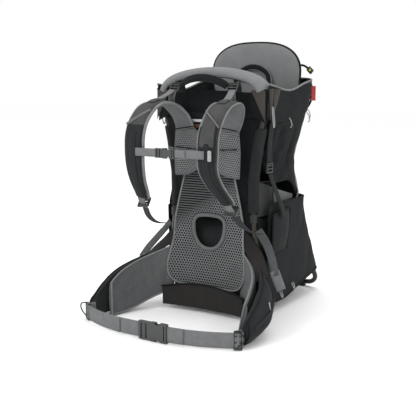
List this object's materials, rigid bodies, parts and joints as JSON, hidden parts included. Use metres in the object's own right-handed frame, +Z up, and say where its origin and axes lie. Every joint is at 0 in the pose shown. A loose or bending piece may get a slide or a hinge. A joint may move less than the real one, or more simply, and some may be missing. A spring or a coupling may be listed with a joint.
{
  "type": "child carrier backpack",
  "caption": "Framed backpack for carrying a child: tube frame with fold-out kickstand, padded cockpit and headrest, mesh back panel, shoulder harness and hip belt.",
  "frame": {"origin": "middle of the footprint on the ground", "axes": "+Z up; -Y towards the wearer's harness side; +Y towards the child's side and the kickstand; +X to the left of someone wearing it, which is the right-hand side when the harness is faced"},
  "size_m": [0.4986, 0.6838, 0.719],
  "materials": {
    "frame_tube": "satin",
    "moulded_plastic": "matte",
    "buckle_plastic": "satin",
    "pin_steel": "satin",
    "foot_rubber": "matte",
    "grey_mesh": "open knitted mesh",
    "grey_fabric": "heathered knit",
    "black_fabric": "plain weave",
    "charcoal_fabric": "ripstop weave",
    "light_webbing": "woven webbing",
    "dark_webbing": "woven webbing",
    "zip_metal": "satin",
    "red_plastic": "satin"
  },
  "bodies": {
    "pack": {"frame_hoop": "frame_tube", "cockpit_hoop": "frame_tube", "seat_hoop": "frame_tube", "hoop_joiners": "moulded_plastic", "kickstand_hubs": "moulded_plastic", "pivot_pins": "pin_steel", "front_feet": "foot_rubber", "frame_sleeves": "black_fabric", "back_panel": "grey_mesh", "hole_binding": "light_webbing", "adjuster_plate": "moulded_plastic", "lumbar_pad": "charcoal_fabric", "front_top_panel": "black_fabric", "drool_pad": "grey_fabric", "collar_left": "charcoal_fabric", "collar_right": "charcoal_fabric", "side_panel_left": "black_fabric", "side_panel_right": "black_fabric", "rear_panel": "black_fabric", "storage_bag": "black_fabric", "storage_skin": "black_fabric", "side_pocket_left": "charcoal_fabric", "side_pocket_right": "charcoal_fabric", "headrest": "grey_fabric", "sunshade_pouch": "black_fabric", "rear_handle": "dark_webbing", "child_backrest": "black_fabric", "child_halo": "black_fabric", "child_buckle": "buckle_plastic", "stirrup_straps": "dark_webbing", "stirrup_locks": "buckle_plastic", "hip_pad_left": "grey_mesh", "hip_pad_right": "grey_mesh", "hip_pocket_left": "black_fabric", "hip_pocket_right": "black_fabric", "hip_webbing_left": "light_webbing", "hip_webbing_right": "light_webbing", "hip_adjusters": "buckle_plastic", "hip_socket": "buckle_plastic", "hip_stabilizers": "light_webbing", "load_lifter_locks": "buckle_plastic", "load_lifters": "light_webbing", "lower_webbing": "dark_webbing", "red_adjuster": "red_plastic"},
    "kickstand": {"kickstand_tube": "frame_tube", "kickstand_lugs": "moulded_plastic", "kickstand_feet": "foot_rubber"},
    "torso_harness": {"yoke": "grey_mesh", "shoulder_strap_left": "charcoal_fabric", "shoulder_strap_right": "charcoal_fabric", "strap_locks": "buckle_plastic"},
    "sternum_strap": {"sternum_webbing_right": "light_webbing", "sternum_socket": "buckle_plastic"},
    "sternum_tongue": {"sternum_webbing_left": "light_webbing", "sternum_tongue": "buckle_plastic"},
    "hip_tongue": {"hip_tongue": "buckle_plastic"},
    "grab_handle": {"grab_handle": "charcoal_fabric"},
    "seat": {"seat_pad": "black_fabric"},
    "zip_left": {"pocket_slider_left": "zip_metal"},
    "zip_right": {"pocket_slider_right": "zip_metal"}
  },
  "joints": [
    {"name": "kickstand_fold", "type": "hinge", "parent": "pack", "child": "kickstand", "pos_m": [0, 0.16162, 0.261], "axis": [1, 0, 0], "range_deg": [-68.5, 0], "deforming": ["storage_skin"]},
    {"name": "torso_adjust", "type": "slide", "parent": "pack", "child": "torso_harness", "axis": [0, 0, 1], "range_m": [-0.08, 0], "deforming": ["lower_webbing", "load_lifters"]},
    {"name": "sternum_height", "type": "slide", "parent": "torso_harness", "child": "sternum_strap", "axis": [0, 0, 1], "range_m": [-0.03, 0.03]},
    {"name": "sternum_release", "type": "slide", "parent": "sternum_strap", "child": "sternum_tongue", "axis": [-1, 0, 0], "range_m": [0, 0.022]},
    {"name": "hip_release", "type": "slide", "parent": "pack", "child": "hip_tongue", "axis": [-1, 0, 0], "range_m": [0, 0.03], "deforming": ["hip_webbing_left"]},
    {"name": "handle_swing", "type": "hinge", "parent": "pack", "child": "grab_handle", "pos_m": [0, -0.08438, 0.598], "axis": [1, 0, 0], "range_deg": [0, 75]},
    {"name": "seat_height", "type": "slide", "parent": "pack", "child": "seat", "axis": [0, 0, 1], "range_m": [-0.03, 0.04]},
    {"name": "zip_left_run", "type": "slide", "parent": "pack", "child": "zip_left", "axis": [-0.294, -0.9042, -0.3098], "range_m": [-0.02, 0.02]},
    {"name": "zip_right_run", "type": "slide", "parent": "pack", "child": "zip_right", "axis": [0.294, -0.9042, -0.3098], "range_m": [-0.02, 0.02]}
  ]
}
